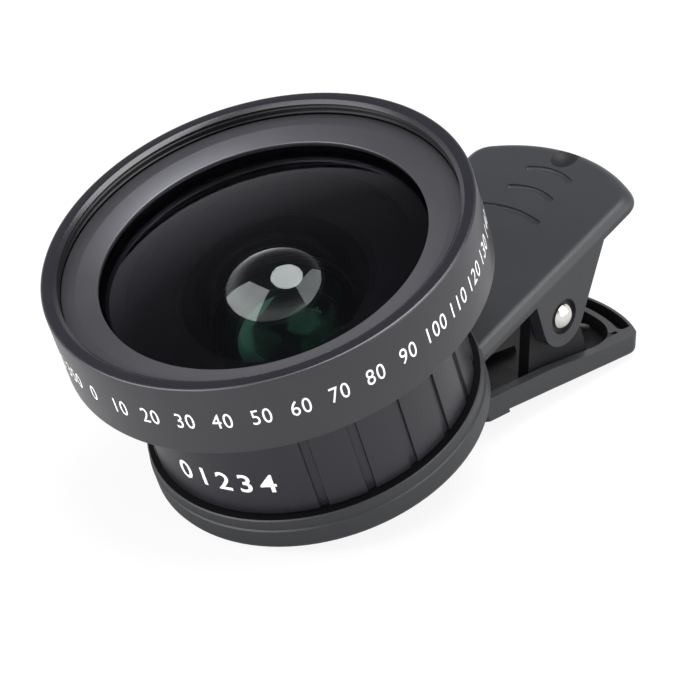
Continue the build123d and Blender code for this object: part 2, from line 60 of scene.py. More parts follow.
# The lens frame: Z is the optical axis, z = 0 is the face that lies on the phone, +X points to
# the finger lever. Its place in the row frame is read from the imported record's mount.
mounts = {mount["name"]: mount for mount in frame["record"]["mounts"]}
LENS_AXIS = Vector(mounts["filter_thread"]["axis"]).normalized()
THREAD_Z = 29.875
LENS_ORIGIN = Vector(mounts["filter_thread"]["pos_m"]) - LENS_AXIS * THREAD_Z * MM
LENS_Y = Vector((0, 1, 0))
LENS_X = LENS_Y.cross(LENS_AXIS)
TO_ROW = axes_matrix(LENS_X * MM, LENS_Y * MM, LENS_AXIS * MM, LENS_ORIGIN)


def row_point(x, y, z):
    """A point of the lens frame, in mm, as a point of the row frame, in metres."""
    return TO_ROW @ Vector((x, y, z))


def row_direction(x, y, z):
    """A direction of the lens frame as a unit direction of the row frame."""
    return (LENS_X * x + LENS_Y * y + LENS_AXIS * z).normalized()


# Materials


def new_material(name):
    """An empty node material with its output node."""
    material = bpy.data.materials.new(name)
    material.use_nodes = True
    material.node_tree.nodes.clear()
    output = material.node_tree.nodes.new("ShaderNodeOutputMaterial")
    return material, material.node_tree, output


def noise(tree, coords, scale, detail, roughness=0.5):
    """A noise texture on some coordinates."""
    node = tree.nodes.new("ShaderNodeTexNoise")
    node.inputs["Scale"].default_value = scale
    node.inputs["Detail"].default_value = detail
    node.inputs["Roughness"].default_value = roughness
    tree.links.new(coords, node.inputs["Vector"])
    return node


def spread(tree, value, low, high):
    """Map a value from 0..1 to low..high."""
    node = tree.nodes.new("ShaderNodeMapRange")
    node.inputs["To Min"].default_value = low
    node.inputs["To Max"].default_value = high
    tree.links.new(value, node.inputs["Value"])
    return node.outputs["Result"]


def blend_colours(tree, factor, first, second):
    """Mix two colours by a factor."""
    node = tree.nodes.new("ShaderNodeMix")
    node.data_type = "RGBA"
    node.inputs["A"].default_value = (*first, 1)
    node.inputs["B"].default_value = (*second, 1)
    tree.links.new(factor, node.inputs["Factor"])
    return node.outputs["Result"]


def object_coords(tree):
    """Coordinates of the object, in metres."""
    return tree.nodes.new("ShaderNodeTexCoord").outputs["Object"]


def uv_coords(tree, across, along):
    """The lathe's own coordinates, stretched across and along its outline."""
    coords = tree.nodes.new("ShaderNodeTexCoord")
    stretch = tree.nodes.new("ShaderNodeMapping")
    stretch.inputs["Scale"].default_value = (across, along, 1)
    tree.links.new(coords.outputs["UV"], stretch.inputs["Vector"])
    return stretch.outputs["Vector"]


CLOUD_SCALE = 90.0
SMEAR_SCALE = 260.0
GRAIN_STRENGTH = 0.6
TURNED_STRENGTH = 0.5
TURNED_ACROSS = 3.0
TURNED_ALONG = 9000.0


def surface(name, dark, light, rough, grain_scale, grain_height,
            metallic=0.0, specular=0.5, turned_height=0.0):
    """A worn-in surface: two close tones, uneven gloss, a fine grain and, if turned, fine cutter lines."""
    material, tree, output = new_material(name)
    shader = tree.nodes.new("ShaderNodeBsdfPrincipled")
    coords = object_coords(tree)
    cloud = noise(tree, coords, CLOUD_SCALE, detail=3.0)
    tone = blend_colours(tree, cloud.outputs["Fac"], dark, light)
    tree.links.new(tone, shader.inputs["Base Color"])
    smear = noise(tree, coords, SMEAR_SCALE, detail=4.0, roughness=0.6)
    gloss = spread(tree, smear.outputs["Fac"], *rough)
    tree.links.new(gloss, shader.inputs["Roughness"])
    shader.inputs["Metallic"].default_value = metallic
    shader.inputs["Specular IOR Level"].default_value = specular
    grain = noise(tree, coords, grain_scale, detail=2.0, roughness=0.6)
    bump = tree.nodes.new("ShaderNodeBump")
    bump.inputs["Strength"].default_value = GRAIN_STRENGTH
    bump.inputs["Distance"].default_value = grain_height
    tree.links.new(grain.outputs["Fac"], bump.inputs["Height"])
    normal = bump.outputs["Normal"]
    if turned_height > 0:
        around = uv_coords(tree, TURNED_ACROSS, TURNED_ALONG)
        lines = noise(tree, around, scale=1.0, detail=3.0, roughness=0.7)
        cut = tree.nodes.new("ShaderNodeBump")
        cut.inputs["Strength"].default_value = TURNED_STRENGTH
        cut.inputs["Distance"].default_value = turned_height
        tree.links.new(lines.outputs["Fac"], cut.inputs["Height"])
        tree.links.new(normal, cut.inputs["Normal"])
        normal = cut.outputs["Normal"]
    tree.links.new(normal, shader.inputs["Normal"])
    tree.links.new(shader.outputs["BSDF"], output.inputs["Surface"])
    return material


GLASS_CLOUD_SCALE = 40.0
TINT_SPREAD = 1.02
SHEEN_SPREAD = 1.1


def lighter(colour, share):
    """A colour raised by a share, up to white."""
    return tuple(min(1.0, channel * share) for channel in colour)


def glass(name, tint, coating, ior):
    """Coated optical glass: clear, with a coloured reflection that varies slightly."""
    material, tree, output = new_material(name)
    shader = tree.nodes.new("ShaderNodeBsdfPrincipled")
    coords = object_coords(tree)
    cloud = noise(tree, coords, GLASS_CLOUD_SCALE, detail=1.0)
    clear = blend_colours(tree, cloud.outputs["Fac"], tint, lighter(tint, TINT_SPREAD))
    tree.links.new(clear, shader.inputs["Base Color"])
    sheen = blend_colours(tree, cloud.outputs["Fac"], coating, lighter(coating, SHEEN_SPREAD))
    tree.links.new(sheen, shader.inputs["Specular Tint"])
    shader.inputs["Transmission Weight"].default_value = 1.0
    shader.inputs["Roughness"].default_value = 0.0
    shader.inputs["IOR"].default_value = ior
    tree.links.new(shader.outputs["BSDF"], output.inputs["Surface"])
    return material


ANODISED = surface(
    "satin_black_anodised", dark=(0.0065, 0.0063, 0.0105), light=(0.0105, 0.0102, 0.0155),
    rough=(0.3, 0.38), grain_scale=5200.0, grain_height=0.00002, specular=0.78)
TURNED = surface(
    "turned_black_anodised", dark=(0.0095, 0.0093, 0.0135), light=(0.0145, 0.0142, 0.0195),
    rough=(0.26, 0.34), grain_scale=6000.0, grain_height=0.00001, turned_height=0.00002)
BEZEL = surface(
    "satin_grey_bezel", dark=(0.098, 0.098, 0.11), light=(0.118, 0.118, 0.131),
    rough=(0.34, 0.4), grain_scale=6000.0, grain_height=0.000012, metallic=0.85, turned_height=0.000012)
INNER_BLACK = surface(
    "inner_black_paint", dark=(0.013, 0.013, 0.0145), light=(0.018, 0.018, 0.02),
    rough=(0.5, 0.62), grain_scale=1500.0, grain_height=0.000002, specular=0.3)
THREAD_BLACK = surface(
    "black_thread", dark=(0.004, 0.004, 0.0045), light=(0.006, 0.006, 0.007),
    rough=(0.28, 0.36), grain_scale=5200.0, grain_height=0.00001, specular=0.22)
RIM_BLACK = surface(
    "rim_black_anodised", dark=(0.0085, 0.0083, 0.0115), light=(0.0125, 0.012, 0.016),
    rough=(0.24, 0.3), grain_scale=5200.0, grain_height=0.00001, specular=0.5)
# Near-black that paints the shade in the gap between the close-up lens and the clip's collar: on the grip
# ring's foot and spigot, the washer and the collar's top
GAP_SHADE_BLACK = surface(
    "painted_gap_shade", dark=(0.0035, 0.0035, 0.004), light=(0.005, 0.005, 0.0057),
    rough=(0.6, 0.7), grain_scale=4200.0, grain_height=0.00002, specular=0.08)
# Plastic darkened to paint the shade inside the lever's dimple and inside the lower arm's tray
SHADE_PAINTED_PLASTIC = surface(
    "plastic_with_painted_shade", dark=(0.008, 0.008, 0.0092), light=(0.012, 0.012, 0.0136),
    rough=(0.5, 0.6), grain_scale=4200.0, grain_height=0.00003, specular=0.25)
EDGE_PAINT = surface(
    "glass_edge_paint", dark=(0.0035, 0.0034, 0.0042), light=(0.005, 0.0048, 0.006),
    rough=(0.8, 0.9), grain_scale=900.0, grain_height=0.0, specular=0.0)
PLASTIC = surface(
    "clip_black_plastic", dark=(0.022, 0.0228, 0.0262), light=(0.028, 0.0288, 0.0325),
    rough=(0.38, 0.46), grain_scale=4200.0, grain_height=0.00003, specular=0.38)
RUBBER = surface(
    "soft_black_rubber", dark=(0.012, 0.012, 0.012), light=(0.018, 0.018, 0.018),
    rough=(0.7, 0.85), grain_scale=3000.0, grain_height=0.00003)
SPRING_STEEL = surface(
    "blackened_spring_steel", dark=(0.06, 0.06, 0.062), light=(0.1, 0.1, 0.104),
    rough=(0.3, 0.42), grain_scale=3500.0, grain_height=0.000006, metallic=0.8)
STEEL = surface(
    "bright_nickel", dark=(0.78, 0.75, 0.72), light=(0.84, 0.82, 0.79),
    rough=(0.12, 0.22), grain_scale=3500.0, grain_height=0.000006, metallic=1.0)
WHITE_PAINT = surface(
    "white_numeral_paint", dark=(0.72, 0.72, 0.72), light=(0.8, 0.8, 0.8),
    rough=(0.45, 0.6), grain_scale=6000.0, grain_height=0.000004)
FRONT_GLASS = glass("front_coated_glass", tint=(0.9, 0.93, 0.95), coating=(0.8, 0.72, 1.0), ior=1.5)
BOWL_GLASS = glass("bowl_coated_glass", tint=(0.8, 0.95, 0.9), coating=(0.96, 1.0, 1.0), ior=1.62)
# The close-up lens's glass: its dark tint paints the shade inside the lens
SHADED_INNER_GLASS = glass("inner_glass_with_painted_shade", tint=(0.35, 0.6, 0.5), coating=(0.014, 0.045, 0.034), ior=1.55)


# Building blocks

CORNER_STEPS = 4
# Largest share of a side that the rounding of one of its corners takes
CORNER_REACH = 0.49
# Points nearer than this, in metres, become one
MERGE_GAP = 1e-8
# A point of an outline that is nearer to the axis than this, in mm, lies on it
AXIS_GAP = 1e-9


def rounded(points):
    """Round the corners of a closed outline of (radius, height, corner) points."""
    outline = []
    count = len(points)
    for index in range(count):
        radius, height, corner = points[index]
        here = Vector((radius, height))
        if corner <= 0:
            outline.append((radius, height))
            continue
        before = Vector(points[index - 1][:2]) - here
        after = Vector(points[(index + 1) % count][:2]) - here
        half = before.angle(after) / 2
        cut = min(corner / math.tan(half), before.length * CORNER_REACH, after.length * CORNER_REACH)
        first = here + before.normalized() * cut
        last = here + after.normalized() * cut
        for step in range(CORNER_STEPS + 1):
            t = step / CORNER_STEPS
            bend = first * (1 - t) ** 2 + here * 2 * t * (1 - t) + last * t ** 2
            outline.append((bend.x, bend.y))
    return outline


SHARP_ANGLE = 32.0
GLASS_SHARP_ANGLE = 20.0
CAD_SHARP_ANGLE = 28.0


def smooth(mesh, angle):
    """Shade a mesh smoothly, but for edges that bend by more than an angle in degrees."""
    mesh.polygons.foreach_set("use_smooth", [True] * len(mesh.polygons))
    mesh.set_sharp_from_angle(angle=math.radians(angle))


def finish_mesh(name, vertices, faces, materials, indices=None, uvs=None, angle=SHARP_ANGLE):
    """Make an object of a mesh given in lens-frame mm, with sharp edges kept sharp."""
    mesh = bpy.data.meshes.new(name)
    mesh.from_pydata([TO_ROW @ Vector(v) for v in vertices], [], faces)
    for material in materials:
        mesh.materials.append(material)
    if indices:
        mesh.polygons.foreach_set("material_index", indices)
    if uvs:
        layer = mesh.uv_layers.new(name="UVMap")
        for loop, uv in zip(layer.data, uvs):
            loop.uv = uv
    work = bmesh.new()
    work.from_mesh(mesh)
    bmesh.ops.remove_doubles(work, verts=work.verts, dist=MERGE_GAP)
    bmesh.ops.recalc_face_normals(work, faces=work.faces)
    work.to_mesh(mesh)
    work.free()
    smooth(mesh, angle)
    mesh.update()
    obj = bpy.data.objects.new(name, mesh)
    bpy.context.scene.collection.objects.link(obj)
    return obj


def lathe(name, outline, materials, zones=None, segments=240, closed=True, angle=SHARP_ANGLE):
    """Turn an outline of (radius, height) points about the lens axis.
    zones gives each stretch of the outline its material."""
    vertices = []
    faces = []
    indices = []
    uvs = []
    count = len(outline)
    travel = [0.0]
    for index in range(1, count + 1):
        first = Vector(outline[index - 1])
        second = Vector(outline[index % count])
        travel.append(travel[-1] + (second - first).length * MM)
    for step in range(segments):
        turn = 2 * math.pi * step / segments
        for radius, height in outline:
            vertices.append((radius * math.cos(turn), radius * math.sin(turn), height))
    spans = count if closed else count - 1
    for step in range(segments):
        ahead = (step + 1) % segments
        u0 = step / segments
        u1 = (step + 1) / segments
        for index in range(spans):
            other = (index + 1) % count
            a = step * count + index
            b = ahead * count + index
            c = ahead * count + other
            d = step * count + other
            on_axis_first = outline[index][0] < AXIS_GAP
            on_axis_last = outline[other][0] < AXIS_GAP
            if on_axis_first and on_axis_last:
                continue
            v0 = travel[index]
            v1 = travel[index + 1]
            if on_axis_first:
                faces.append((a, c, d))
                uvs += [(u0, v0), (u1, v1), (u0, v1)]
            elif on_axis_last:
                faces.append((a, b, d))
                uvs += [(u0, v0), (u1, v0), (u0, v1)]
            else:
                faces.append((a, b, c, d))
                uvs += [(u0, v0), (u1, v0), (u1, v1), (u0, v1)]
            indices.append(zones[index] if zones else 0)
    return finish_mesh(name, vertices, faces, materials, indices, uvs, angle)


def sag_of(sphere_r, radius):
    """Height of a spherical cap of some radius."""
    return sphere_r - math.sqrt(sphere_r ** 2 - radius ** 2)


def cap_points(sphere_r, apex, radius, up, steps=40):
    """Points of a spherical surface from the axis to a radius."""
    points = []
    for step in range(steps + 1):
        r = radius * step / steps
        sag = sag_of(sphere_r, r)
        points.append((r, apex - sag if up else apex + sag))
    return points


def place(obj, body, node):
    """Let a piece ride on a body in place of a CAD node."""
    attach(obj, body)
    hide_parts(node)


def ring_outline(outer, inner, low, high, corner):
    """Outline of a plain ring with rounded corners."""
    corners = [(inner, low), (outer, low), (outer, high), (inner, high)]
    return rounded([(radius, height, corner) for radius, height in corners])


# Wide front lens

RING_SEGMENTS = 320
RIM_Z = 30.9
RIM_INNER_R = 24.6
SIDE_R = 25.985
SIDE_LOW_Z = 21.13
THREAD_R = 24.1
THREAD_ROOT_R = 24.45
THREAD_TOP_Z = 30.55
RELIEF_TOP_Z = 29.2
RELIEF_LOW_Z = 28.65
THREAD_TURNS = 2
THREAD_START = 0.02
PITCH = 0.75
SPIGOT_R = 18.44
SPIGOT_LOW_Z = 17.3
SPIGOT_BORE_R = 17.1
GLASS_BORE_R = 23.1
GLASS_SEAT_Z = 22.7
BEZEL_SEAT_Z = 27.6
# Outer limits of the zones that take the thread's and the rim's material
THREAD_ZONE_R = 24.5
RIM_ZONE_R = 25.8


def build_front_ring():
    """Outer housing of the wide lens, with the filter thread inside its rim and the spigot below."""
    outline = [
        (SPIGOT_BORE_R, SPIGOT_LOW_Z, 0.1),
        (SPIGOT_R, SPIGOT_LOW_Z, 0.25),
        (SPIGOT_R, SIDE_LOW_Z, 0.0),
        (SIDE_R, SIDE_LOW_Z, 0.22),
        (SIDE_R, RIM_Z, 0.3),
        (RIM_INNER_R, RIM_Z, 0.12),
        (THREAD_R, THREAD_TOP_Z, 0.05),
    ]
    for turn in range(THREAD_TURNS):
        z = THREAD_TOP_Z - THREAD_START - turn * PITCH
        outline += [
            (THREAD_R, z, 0.0),
            (THREAD_ROOT_R, z - PITCH / 3, 0.04),
            (THREAD_R, z - PITCH * 2 / 3, 0.0),
        ]
    outline += [
        (THREAD_R, RELIEF_TOP_Z, 0.04),
        (THREAD_ROOT_R, RELIEF_TOP_Z, 0.0),
        (THREAD_ROOT_R, RELIEF_LOW_Z, 0.0),
        (THREAD_R, RELIEF_LOW_Z, 0.03),
        (THREAD_R, BEZEL_SEAT_Z, 0.0),
        (GLASS_BORE_R, BEZEL_SEAT_Z, 0.0),
        (GLASS_BORE_R, GLASS_SEAT_Z, 0.0),
        (SPIGOT_BORE_R, GLASS_SEAT_Z, 0.0),
    ]
    outline = rounded(outline)
    zones = []
    for index, (radius, height) in enumerate(outline):
        ahead = outline[(index + 1) % len(outline)]
        in_thread = max(radius, ahead[0]) < THREAD_ZONE_R and min(height, ahead[1]) >= BEZEL_SEAT_Z
        on_rim = max(radius, ahead[0]) < RIM_ZONE_R and min(height, ahead[1]) > THREAD_TOP_Z
        zones.append(1 if in_thread else 2 if on_rim else 0)
    ring = lathe("front_ring_body", outline, [ANODISED, THREAD_BLACK, RIM_BLACK], zones, RING_SEGMENTS)
    place(ring, "wide_lens", "front_ring")


BEZEL_LOW_Z = BEZEL_SEAT_Z + 0.01
BEZEL_OUTER_R = 24.06
BEZEL_OUTER_Z = 29.05
BEZEL_RIDGE_R = 22.35
BEZEL_RIDGE_Z = 28.85
BEZEL_INNER_R = 19.77
BEZEL_INNER_Z = 28.25
BEZEL_LIP = 0.3
BEZEL_UNDERCUT = 0.1


def build_bezel():
    """Satin ring that slopes down from the thread to the front glass."""
    outline = rounded([
        (BEZEL_INNER_R + BEZEL_UNDERCUT, BEZEL_LOW_Z, 0.0),
        (BEZEL_OUTER_R, BEZEL_LOW_Z, 0.0),
        (BEZEL_OUTER_R, BEZEL_OUTER_Z, 0.1),
        (BEZEL_RIDGE_R, BEZEL_RIDGE_Z, 0.25),
        (BEZEL_INNER_R, BEZEL_INNER_Z, 0.12),
        (BEZEL_INNER_R, BEZEL_INNER_Z - BEZEL_LIP, 0.1),
    ])
    bezel = lathe("bezel_face", outline, [BEZEL], segments=RING_SEGMENTS)
    place(bezel, "wide_lens", "bezel_ring")


SPACER_OUTER_R = 23.06
SPACER_INNER_R = 21.82
SPACER_LOW_Z = 26.32


def build_front_spacer():
    """Black wall between the bezel and the edge of the front glass."""
    outline = ring_outline(SPACER_OUTER_R, SPACER_INNER_R, SPACER_LOW_Z, BEZEL_SEAT_Z, 0.05)
    spacer = lathe("black_glass_spacer", outline, [INNER_BLACK])
    place(spacer, "wide_lens", "front_spacer")


GLASS_APEX = 29.15
GLASS_SPHERE = 85.0
# Lift of the painted faces off the faces that they rest on, so that no two lie in one plane
PAINT_GAP = 0.03
CAP_STEPS = 60
GLASS_R = 23.0
BOWL_R = 11.6
BOWL_SPHERE = 13.0
NECK_R = 16.9
NECK_Z = 18.2


def build_front_glass():
    """Large diverging glass, whose deep bowl shows through its front as a dome."""
    front = cap_points(GLASS_SPHERE, GLASS_APEX, GLASS_R, True, CAP_STEPS)
    neck_z = NECK_Z + PAINT_GAP
    bowl_apex = neck_z + sag_of(BOWL_SPHERE, BOWL_R)
    bowl = cap_points(BOWL_SPHERE, bowl_apex, BOWL_R, True, CAP_STEPS)[::-1]
    seat_z = GLASS_SEAT_Z + PAINT_GAP
    ground = [(GLASS_R, seat_z), (NECK_R, seat_z), (NECK_R, neck_z)]
    outline = front + ground + bowl
    zones = [0] * (len(front) - 1) + [1] * 4 + [2] * (len(bowl) - 1)
    materials = [FRONT_GLASS, EDGE_PAINT, BOWL_GLASS]
    lens = lathe("front_glass", outline, materials, zones, closed=False, angle=GLASS_SHARP_ANGLE)
    place(lens, "wide_lens", "front_lens")


BAFFLE_LOW_Z = SPIGOT_LOW_Z + 0.1
BAFFLE_OUTER_R = 17.06
BAFFLE_LOW_BORE_R = 12.3
BAFFLE_BORE_R = 11.8
BAFFLE_LIP = 0.2


def build_baffle():
    """Light stop round the foot of the bowl."""
    outline = [
        (BAFFLE_LOW_BORE_R, BAFFLE_LOW_Z),
        (BAFFLE_OUTER_R, BAFFLE_LOW_Z),
        (BAFFLE_OUTER_R, NECK_Z),
        (BAFFLE_BORE_R, NECK_Z),
        (BAFFLE_BORE_R, NECK_Z - BAFFLE_LIP),
    ]
    baffle = lathe("light_stop", outline, [INNER_BLACK])
    place(baffle, "wide_lens", "baffle_ring")


# Close-up lens

MACRO_R = 19.87
MACRO_LOW_Z = 5.24
MACRO_TOP_Z = 20.85
STRIP_COUNT = 18
STRIP_STEP = 16.87
STRIP_FIRST = -134.6
STRIP_HALF_DEG = 1.42
STRIP_FLANK_DEG = 0.28
STRIP_EDGES_DEG = (
    -STRIP_HALF_DEG - STRIP_FLANK_DEG,
    -STRIP_HALF_DEG,
    STRIP_HALF_DEG,
    STRIP_HALF_DEG + STRIP_FLANK_DEG,
)
STRIP_DEPTH = 0.28
EVEN_STEPS = 240


def macro_radius(angle_deg):
    """Outer radius of the grip ring at an angle, panels and strips."""
    for number in range(STRIP_COUNT):
        centre = STRIP_FIRST + number * STRIP_STEP
        off = abs((angle_deg - centre + 180) % 360 - 180)
        if off <= STRIP_HALF_DEG:
            return MACRO_R - STRIP_DEPTH
        if off <= STRIP_HALF_DEG + STRIP_FLANK_DEG:
            return MACRO_R - STRIP_DEPTH * (1 - (off - STRIP_HALF_DEG) / STRIP_FLANK_DEG)
    return MACRO_R


def macro_angles():
    """Angles at which the grip ring's outline bends, with even steps between."""
    angles = set()
    for step in range(EVEN_STEPS):
        angles.add(round(-180 + step * 360 / EVEN_STEPS, 4))
    for number in range(STRIP_COUNT):
        centre = STRIP_FIRST + number * STRIP_STEP
        for off in STRIP_EDGES_DEG:
            angles.add(round((centre + off + 180) % 360 - 180, 4))
    return sorted(angles)


SOCKET_R = 18.5
SOCKET_LOW_Z = 16.9
FRONT_ELEMENT_BORE_R = 15.5
FRONT_ELEMENT_SEAT_Z = 12.8
WEB_BORE_R = 12.5
REAR_ELEMENT_BORE_R = 13.5
REAR_ELEMENT_TOP_Z = 11.0
REAR_ELEMENT_LOW_Z = 9.0
REAR_KEEPER_LOW_Z = 5.6
REAR_MOUTH_R = 15.0
REAR_MOUTH_Z = 2.3
SPIGOT_CHAMFER_IN = 0.24
SPIGOT_CHAMFER_UP = 0.25
MACRO_SHARP_ANGLE = 18.0
# Rounded foot and bevelled top of the outer wall, as steps outward and upward from its corners
MACRO_FOOT = ((-0.16, 0.0), (-0.04, 0.06), (0.0, 0.2))
MACRO_TOP = ((0.0, -0.2), (-0.15, 0.0))


def build_macro_ring():
    """Grip ring whose outer wall follows the panels and strips."""
    angles = macro_angles()
    outer = [(MACRO_R + out, MACRO_LOW_Z + up, True) for out, up in MACRO_FOOT]
    outer += [(MACRO_R + out, MACRO_TOP_Z + up, True) for out, up in MACRO_TOP]
    inner = [
        (SOCKET_R, MACRO_TOP_Z, False),
        (SOCKET_R, SOCKET_LOW_Z, False),
        (FRONT_ELEMENT_BORE_R, SOCKET_LOW_Z, False),
        (FRONT_ELEMENT_BORE_R, FRONT_ELEMENT_SEAT_Z, False),
        (WEB_BORE_R, FRONT_ELEMENT_SEAT_Z, False),
        (WEB_BORE_R, REAR_ELEMENT_TOP_Z, False),
        (REAR_ELEMENT_BORE_R, REAR_ELEMENT_TOP_Z, False),
        (REAR_ELEMENT_BORE_R, REAR_KEEPER_LOW_Z, False),
        (REAR_MOUTH_R, REAR_KEEPER_LOW_Z, False),
        (REAR_MOUTH_R, REAR_MOUTH_Z, False),
        (SPIGOT_R - SPIGOT_CHAMFER_IN, REAR_MOUTH_Z, False),
        (SPIGOT_R, REAR_MOUTH_Z + SPIGOT_CHAMFER_UP, False),
        (SPIGOT_R, MACRO_LOW_Z, False),
    ]
    outline = outer + inner
    # Foot, outer wall, inside, and the spigot below; the foot and the spigot take painted shade of the gap
    # over the collar
    zones = [2] * 2 + [0] * 2 + [1] * 11 + [2] * 3
    vertices = []
    faces = []
    indices = []
    uvs = []
    count = len(outline)
    for angle in angles:
        turn = math.radians(angle)
        drop = MACRO_R - macro_radius(angle)
        for radius, height, grips in outline:
            r = radius - drop if grips else radius
            vertices.append((r * math.cos(turn), r * math.sin(turn), height))
    total = len(angles)
    for step in range(total):
        ahead = (step + 1) % total
        for index in range(count):
            other = (index + 1) % count
            low_edge = (step * count + index, ahead * count + index)
            high_edge = (ahead * count + other, step * count + other)
            faces.append(low_edge + high_edge)
            u0 = angles[step] / 360 + 0.5
            u1 = u0 + ((angles[ahead] - angles[step]) % 360) / 360
            v0 = outline[index][1] * MM
            v1 = outline[other][1] * MM
            uvs += [(u0, v0), (u1, v0), (u1, v1), (u0, v1)]
            indices.append(zones[index])
    materials = [TURNED, INNER_BLACK, GAP_SHADE_BLACK]
    ring = finish_mesh("grip_ring", vertices, faces, materials, indices, uvs, MACRO_SHARP_ANGLE)
    place(ring, "macro_lens", "macro_ring")


FRONT_ELEMENT_R = 15.46
FRONT_ELEMENT_CAP_R = 14.3
FRONT_ELEMENT_EDGE_Z = 14.2
FRONT_ELEMENT_SPHERE = 45.0
REAR_ELEMENT_R = 13.46
REAR_ELEMENT_CAP_R = 12.2
REAR_ELEMENT_SPHERE = 60.0


def build_macro_front_glass():
    """Converging glass at the front of the close-up lens."""
    apex = FRONT_ELEMENT_EDGE_Z + sag_of(FRONT_ELEMENT_SPHERE, FRONT_ELEMENT_CAP_R)
    cap = cap_points(FRONT_ELEMENT_SPHERE, apex, FRONT_ELEMENT_CAP_R, True)
    foot = [(FRONT_ELEMENT_R, FRONT_ELEMENT_EDGE_Z), (FRONT_ELEMENT_R, FRONT_ELEMENT_SEAT_Z)]
    outline = cap + foot + [(0.0, FRONT_ELEMENT_SEAT_Z)]
    zones = [0] * (len(cap) - 1) + [1, 1, 0]
    materials = [SHADED_INNER_GLASS, EDGE_PAINT]
    lens = lathe("close_up_front_glass", outline, materials, zones, closed=False, angle=GLASS_SHARP_ANGLE)
    place(lens, "macro_lens", "macro_front_lens")


def build_macro_rear_glass():
    """Second converging glass, on the phone's side."""
    sag = sag_of(REAR_ELEMENT_SPHERE, REAR_ELEMENT_CAP_R)
    top_cap = cap_points(REAR_ELEMENT_SPHERE, REAR_ELEMENT_TOP_Z + sag, REAR_ELEMENT_CAP_R, True)
    low_cap = cap_points(REAR_ELEMENT_SPHERE, REAR_ELEMENT_LOW_Z - sag, REAR_ELEMENT_CAP_R, False)
    edge = [(REAR_ELEMENT_R, REAR_ELEMENT_TOP_Z), (REAR_ELEMENT_R, REAR_ELEMENT_LOW_Z)]
    outline = top_cap + edge + low_cap[::-1]
    zones = [0] * (len(top_cap) - 1) + [1, 1, 1] + [0] * (len(low_cap) - 1)
    materials = [SHADED_INNER_GLASS, EDGE_PAINT]
    lens = lathe("close_up_rear_glass", outline, materials, zones, closed=False, angle=GLASS_SHARP_ANGLE)
    place(lens, "macro_lens", "macro_rear_lens")


# Spring


def build_spring():
    """The spring's wire, copied from its CAD node, with its upper leg under the lever."""
    source = frame["nodes"]["torsion_spring"]
    mesh = source.data.copy()
    mesh.transform(source.matrix_world)
    mesh.materials.clear()
    mesh.materials.append(SPRING_STEEL)
    smooth(mesh, CAD_SHARP_ANGLE)
    spring = bpy.data.objects.new("spring_wire", mesh)
    bpy.context.scene.collection.objects.link(spring)
    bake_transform(spring)
    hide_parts("torsion_spring")


# White numerals of a plain scale

DIGIT_SPACING = 1.12
DIGIT_CURVE_STEPS = 4


def wrapped_text(words, size, weight, radius, angle_deg, height, squeeze):
    """Mesh of a few digits wrapped on the ring, upright along the lens axis."""
    curve = bpy.data.curves.new("digits", "FONT")
    curve.body = words
    curve.size = size
    curve.offset = weight
    curve.align_x = "CENTER"
    curve.space_character = DIGIT_SPACING
    curve.resolution_u = DIGIT_CURVE_STEPS
    shape = bpy.data.objects.new("digits", curve)
    bpy.context.scene.collection.objects.link(shape)
    bpy.context.view_layer.update()
    mesh = bpy.data.meshes.new_from_object(shape.evaluated_get(bpy.context.evaluated_depsgraph_get()))
    bpy.data.objects.remove(shape)
    vertices = []
    for vertex in mesh.vertices:
        turn = math.radians(angle_deg) + vertex.co.x * squeeze / radius
        vertices.append((radius * math.cos(turn), radius * math.sin(turn), height + vertex.co.y))
    faces = [tuple(polygon.vertices) for polygon in mesh.polygons]
    bpy.data.meshes.remove(mesh)
    return vertices, faces


def build_scale(name, body, marks, radius, height, size, weight, squeeze):
    """White numbers on a ring, one piece of paint; marks are (angle, number) pairs."""
    vertices = []
    faces = []
    for angle, number in marks:
        points, shapes = wrapped_text(str(number), size, weight, radius, angle, height, squeeze)
        base = len(vertices)
        vertices.extend(points)
        faces.extend([tuple(base + index for index in shape) for shape in shapes])
    scale = finish_mesh(name, vertices, faces, [WHITE_PAINT])
    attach(scale, body)


# Angles in degrees round the rings; the radii leave the paint a little proud of its ring
DEGREES_START = -190.0
DEGREES_STEP = 10
DEGREES_R = SIDE_R + 0.013
DEGREES_Z = 25.05
STEPS_START = -183.4
STEPS_APART = 8.2
STEPS_COUNT = 5
STEPS_R = MACRO_R + 0.035
STEPS_Z = 8.9


def build_scales():
    """Tens of degrees round the front ring and a short row of steps on the grip ring."""
    degrees = [(DEGREES_START + turn, turn) for turn in range(0, 360, DEGREES_STEP)]
    build_scale("front_ring_numbers", "wide_lens", degrees, DEGREES_R, DEGREES_Z,
                size=3.1, weight=0.0, squeeze=0.76)
    steps = [(STEPS_START + STEPS_APART * step, step) for step in range(STEPS_COUNT)]
    build_scale("grip_ring_numbers", "macro_lens", steps, STEPS_R, STEPS_Z,
                size=3.9, weight=0.05, squeeze=1.05)


# Camera, floor and light

FOCAL_PX = 3500.0
IMAGE_PX = 680.0
SENSOR_MM = 36.0
# The camera that was fitted to the photo, in the lens frame and in mm from the middle of the rim
CAMERA_FROM_RIM = (-190.9, -257.5, 244.1)
CAMERA_LOOK = (0.4706, 0.6134, -0.6343)
CAMERA_UP = (0.6194, 0.2825, 0.7326)
CAMERA_NEAR = 0.01
CAMERA_FAR = 20.0


